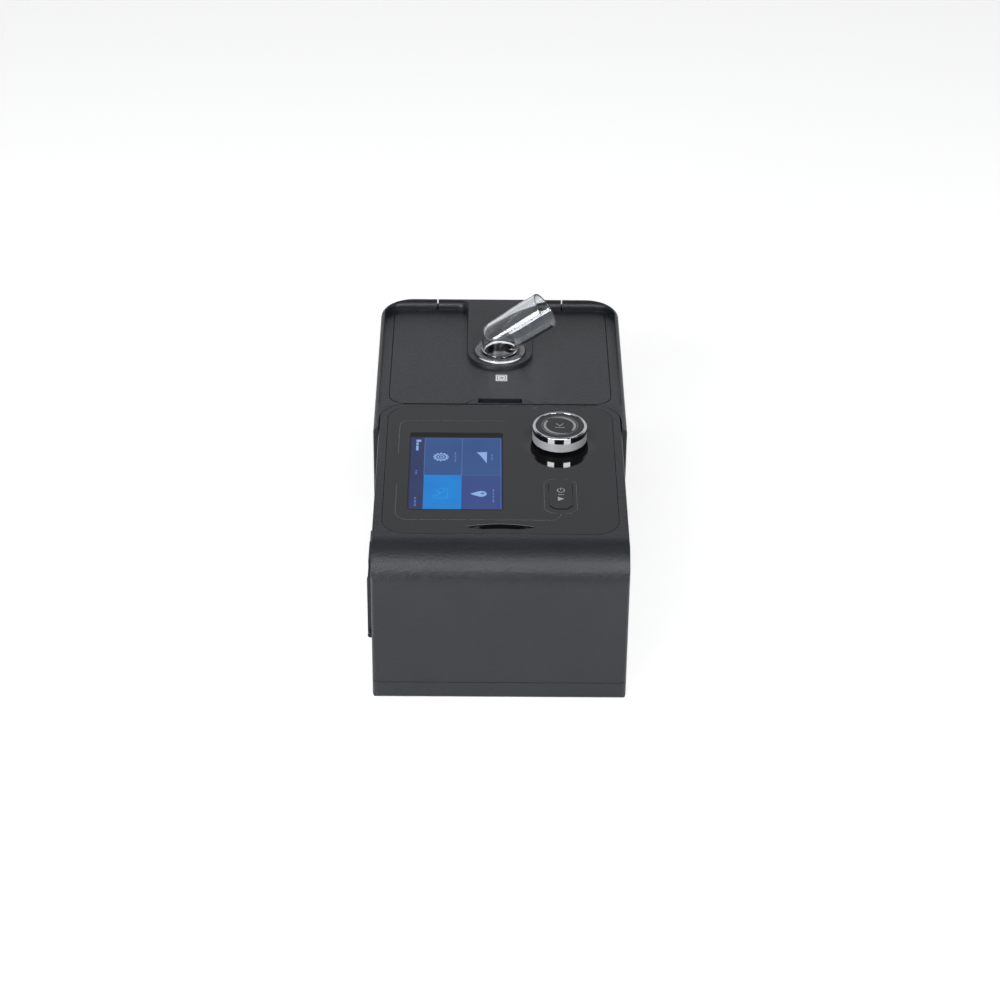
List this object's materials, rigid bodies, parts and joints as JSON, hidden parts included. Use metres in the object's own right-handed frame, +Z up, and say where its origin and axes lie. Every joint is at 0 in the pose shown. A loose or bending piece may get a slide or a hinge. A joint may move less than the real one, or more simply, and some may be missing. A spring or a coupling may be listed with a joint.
{
  "type": "cpap machine with heated humidifier",
  "caption": "Breathing-therapy blower unit with colour display, push-and-turn knob and start key, docked to a heated humidifier with hinged lid and clear swivel hose elbow.",
  "frame": {"origin": "middle of the machine's footprint, on the surface that the feet stand on", "axes": "+X towards the start key's side, +Y from the blower unit's end face to the humidifier, +Z up"},
  "size_m": [0.1414, 0.284, 0.1274],
  "materials": {
    "case_grey": "fine-textured dark grey moulding",
    "panel_gloss": "polished, almost black",
    "screen_glass": "polished window",
    "module_blue": "display module",
    "knob_chrome": "bright plating",
    "knob_satin": "satin",
    "clear_tube": "clear polycarbonate",
    "board_green": "solder mask",
    "black_parts": "moulded",
    "bright_steel": "plated steel",
    "rubber_black": "silicone, black",
    "seal_grey": "silicone, grey",
    "inner_grey": "light grey moulding",
    "fan_white": "nylon",
    "volute_grey": "moulded",
    "motor_metal": "zinc can",
    "pad_white": "filter felt",
    "plate_alu": "plain",
    "mica_white": "insulating board"
  },
  "bodies": {
    "base": {"blower_case": "case_grey", "blower_base": "case_grey", "humidifier_case": "case_grey", "humidifier_base": "case_grey", "rubber_feet": "rubber_black", "case_screws": "bright_steel", "control_panel": "panel_gloss", "display_window": "screen_glass", "display_module": "module_blue", "display_frame": "black_parts", "control_board": "board_green", "board_screws": "bright_steel", "board_parts": "black_parts", "encoder_body": "bright_steel", "start_switch": "black_parts", "filter_cover_pin": "bright_steel", "filter_pad": "pad_white", "filter_frame": "black_parts", "power_inlet": "black_parts", "card_socket": "bright_steel", "volute": "volute_grey", "volute_cover": "volute_grey", "motor": "motor_metal", "fan_mounts": "rubber_black", "air_duct": "black_parts", "docking_seal": "rubber_black", "hinge_pins": "bright_steel", "water_tub": "clear_tube", "tub_plate": "bright_steel", "heater_plate": "plate_alu", "heater_insulator": "mica_white"},
    "fan": {"impeller": "fan_white", "motor_shaft": "bright_steel"},
    "cover": {"filter_cover": "case_grey"},
    "lid": {"humidifier_lid": "case_grey", "lid_liner": "inner_grey", "lid_seal": "seal_grey", "elbow_seat": "rubber_black"},
    "latch": {"lid_latch": "case_grey"},
    "elbow": {"outlet_elbow": "clear_tube"},
    "plunger": {"push_plunger": "fan_white"},
    "knob": {"encoder_shaft": "bright_steel", "knob_core": "knob_satin", "knob_ring": "knob_chrome", "knob_disc": "panel_gloss"},
    "key": {"start_key": "panel_gloss"}
  },
  "joints": [
    {"name": "fan_spin", "type": "hinge", "parent": "base", "child": "fan", "pos_m": [0, -0.074, 0.05], "axis": [0, 0, 1], "continuous": true},
    {"name": "cover_hinge", "type": "hinge", "parent": "base", "child": "cover", "pos_m": [-0.0692, -0.089, 0.025], "axis": [0, -1, 0], "range_deg": [0, 75]},
    {"name": "lid_hinge", "type": "hinge", "parent": "base", "child": "lid", "pos_m": [0, 0.1385, 0.087], "axis": [-1, 0, 0], "range_deg": [0, 95]},
    {"name": "latch_press", "type": "slide", "parent": "lid", "child": "latch", "axis": [0, 0, -1], "range_m": [0, 0.0012], "stiffness_N_per_m": 400, "springref_m": -0.001},
    {"name": "elbow_swivel", "type": "hinge", "parent": "lid", "child": "elbow", "pos_m": [0, 0.0762, 0.09], "axis": [0, 0, 1], "continuous": true},
    {"name": "knob_push", "type": "slide", "parent": "base", "child": "plunger", "axis": [0, 0, -1], "range_m": [0, 0.0006], "stiffness_N_per_m": 1500, "springref_m": -0.001},
    {"name": "knob_turn", "type": "hinge", "parent": "plunger", "child": "knob", "pos_m": [0.0327, -0.0234, 0.095], "axis": [0, 0, 1], "continuous": true},
    {"name": "start_press", "type": "slide", "parent": "base", "child": "key", "axis": [0, 0, -1], "range_m": [0, 0.0004], "stiffness_N_per_m": 1200, "springref_m": -0.001}
  ]
}
